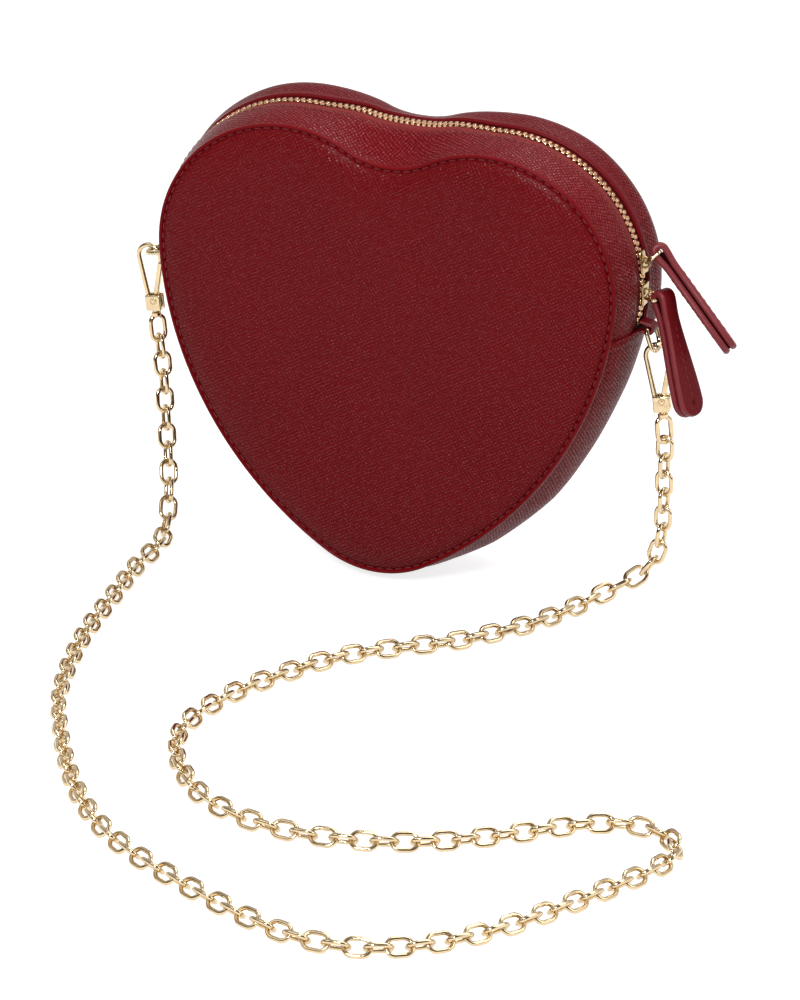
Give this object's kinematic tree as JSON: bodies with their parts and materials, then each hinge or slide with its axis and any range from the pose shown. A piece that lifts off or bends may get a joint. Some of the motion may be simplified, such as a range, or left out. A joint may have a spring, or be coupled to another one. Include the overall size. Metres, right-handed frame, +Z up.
{
  "type": "heart shaped purse",
  "caption": "Heart-shaped zip purse of embossed burgundy leather with sliders, folded leather pulls and a long detachable chain strap on snap hooks",
  "frame": {"origin": "lowest point of the gusset at the heart's tip, on the plane of symmetry", "axes": "+Z up, front panel towards -Y, +X to the side where the zipper pulls are"},
  "size_m": [0.3082, 0.3589, 0.1876],
  "materials": {
    "burgundy_leather": "crosshatch embossed",
    "lining_cloth": "plain weave",
    "zip_tape": "woven tape",
    "panel_board": "matt",
    "pale_gold": "polished pale gold plate",
    "spring_steel": "plain"
  },
  "bodies": {
    "bag": {"front_panel": "burgundy_leather", "back_panel": "burgundy_leather", "front_board": "panel_board", "back_board": "panel_board", "front_lining": "lining_cloth", "back_lining": "lining_cloth", "zip_strip_front": "burgundy_leather", "zip_strip_rear": "burgundy_leather", "lower_gusset": "burgundy_leather", "lower_gusset_lining": "lining_cloth", "strip_lining_front": "lining_cloth", "strip_lining_rear": "lining_cloth", "zipper_tape_front": "zip_tape", "zipper_tape_rear": "zip_tape", "zipper_teeth_front": "pale_gold", "zipper_teeth_rear": "pale_gold", "zipper_stops": "pale_gold", "left_ring_tab": "burgundy_leather", "right_ring_tab": "burgundy_leather", "left_swivel_eye": "pale_gold", "right_swivel_eye": "pale_gold", "chain_left_drop": "pale_gold", "chain_floor": "pale_gold", "chain_right_drop": "pale_gold"},
    "upper_slider": {"upper_slider": "pale_gold"},
    "upper_pull_ring": {"upper_pull_ring": "pale_gold"},
    "upper_pull_tab": {"upper_pull_tab": "burgundy_leather"},
    "lower_slider": {"lower_slider": "pale_gold"},
    "lower_pull_ring": {"lower_pull_ring": "pale_gold"},
    "lower_pull_tab": {"lower_pull_tab": "burgundy_leather"},
    "left_d_ring": {"left_d_ring": "pale_gold"},
    "left_hook": {"left_hook_body": "pale_gold", "left_gate_pin": "pale_gold", "left_gate_spring": "spring_steel"},
    "left_gate": {"left_gate": "pale_gold"},
    "right_d_ring": {"right_d_ring": "pale_gold"},
    "right_hook": {"right_hook_body": "pale_gold", "right_gate_pin": "pale_gold", "right_gate_spring": "spring_steel"},
    "right_gate": {"right_gate": "pale_gold"}
  },
  "joints": [
    {"name": "upper_slider_run", "type": "hinge", "parent": "bag", "child": "upper_slider", "pos_m": [0.0415, -0.003, 0.13], "axis": [0, -1, 0], "range_deg": [0, 75]},
    {"name": "upper_ring_swing", "type": "hinge", "parent": "upper_slider", "child": "upper_pull_ring", "pos_m": [0.0991, -0.003, 0.14277], "axis": [0, -1, 0], "range_deg": [0, 25]},
    {"name": "upper_tab_swing", "type": "hinge", "parent": "upper_pull_ring", "child": "upper_pull_tab", "pos_m": [0.10367, -0.00101, 0.14734], "axis": [0.2988, -0.9063, 0.2988], "range_deg": [0, 75]},
    {"name": "lower_slider_run", "type": "hinge", "parent": "bag", "child": "lower_slider", "pos_m": [0.0415, -0.003, 0.13], "axis": [0, -1, 0], "range_deg": [-4.5, 0]},
    {"name": "lower_ring_swing", "type": "hinge", "parent": "lower_slider", "child": "lower_pull_ring", "pos_m": [0.1005, -0.003, 0.13], "axis": [0, -1, 0], "range_deg": [-4, 4]},
    {"name": "lower_tab_swing", "type": "hinge", "parent": "lower_pull_ring", "child": "lower_pull_tab", "pos_m": [0.10706, -0.00476, 0.13], "axis": [-0.3746, -0.9272, 0], "range_deg": [0, 15]},
    {"name": "left_ring_swing", "type": "hinge", "parent": "bag", "child": "left_d_ring", "pos_m": [-0.10101, 0, 0.11548], "axis": [0, -1, 0], "range_deg": [-2, 20]},
    {"name": "right_ring_swing", "type": "hinge", "parent": "bag", "child": "right_d_ring", "pos_m": [0.10101, 0, 0.11548], "axis": [0, -1, 0], "range_deg": [-4, 4]},
    {"name": "left_hook_swivel", "type": "hinge", "parent": "bag", "child": "left_hook", "pos_m": [-0.10988, 0, 0.11084], "axis": [-0.1392, 0, 0.9903], "range_deg": [-30, 30]},
    {"name": "right_hook_swivel", "type": "hinge", "parent": "bag", "child": "right_hook", "pos_m": [0.10457, 0, 0.10437], "axis": [-0.1392, 0, 0.9903], "range_deg": [-20, 20]},
    {"name": "left_gate_open", "type": "hinge", "parent": "left_hook", "child": "left_gate", "pos_m": [-0.10694, 0, 0.09277], "axis": [0, -1, 0], "range_deg": [0, 20], "stiffness_Nm_per_rad": 0.01, "springref_deg": -5.73},
    {"name": "right_gate_open", "type": "hinge", "parent": "right_hook", "child": "right_gate", "pos_m": [0.1075, 0.00007, 0.0863], "axis": [0.172, -0.9848, 0.0242], "range_deg": [0, 20], "stiffness_Nm_per_rad": 0.01, "springref_deg": -5.73}
  ]
}
